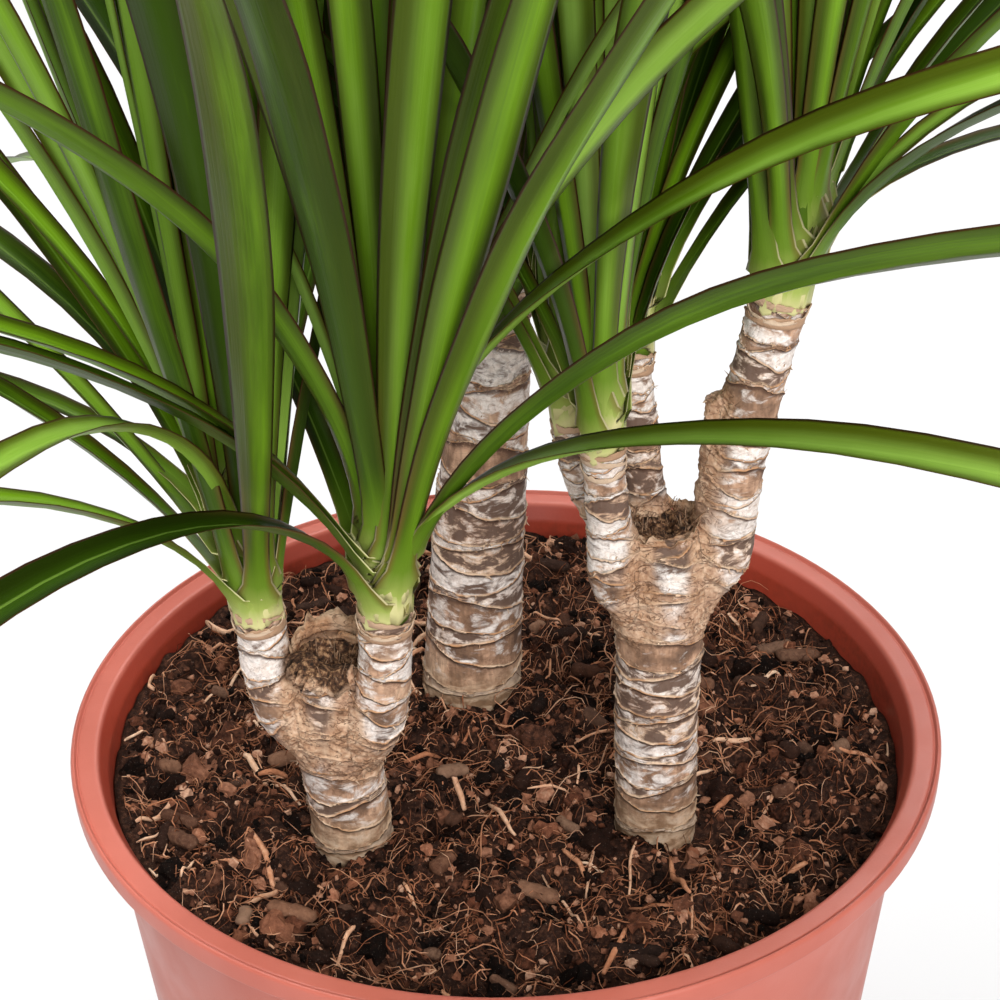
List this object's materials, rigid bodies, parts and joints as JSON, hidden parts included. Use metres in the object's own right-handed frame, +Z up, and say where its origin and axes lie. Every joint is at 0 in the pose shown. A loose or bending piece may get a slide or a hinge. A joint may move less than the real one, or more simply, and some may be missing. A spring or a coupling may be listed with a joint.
{
  "type": "potted dracaena",
  "caption": "Dragon tree in a round plastic nursery pot: thick ringed canes cut off and branched low, each stem ending in a head of long narrow arching leaves.",
  "frame": {"origin": "centre of the pot's flat base, where it stands", "axes": "+Z up along the pot's axis, +X to the right of the plant, -Y towards its front"},
  "size_m": [0.8291, 0.7247, 0.7624],
  "materials": {
    "pot": "terracotta-coloured polypropylene, satin",
    "soil": "dark peat and coir fibre with bark chips, loose and matte",
    "bark": "tan and white papery bark ringed with leaf scars",
    "leaf": "glossy deep green with a thin dark red margin"
  },
  "bodies": {
    "root": {"pot": "pot", "soil": "soil", "cane_left": "bark", "cane_back": "bark", "cane_right": "bark", "crown_left_outer": "leaf", "crown_left_inner": "leaf", "crown_back": "leaf", "crown_right_front": "leaf", "crown_right_side": "leaf", "crown_right_rear": "leaf", "crown_right_tall": "leaf"}
  },
  "joints": []
}
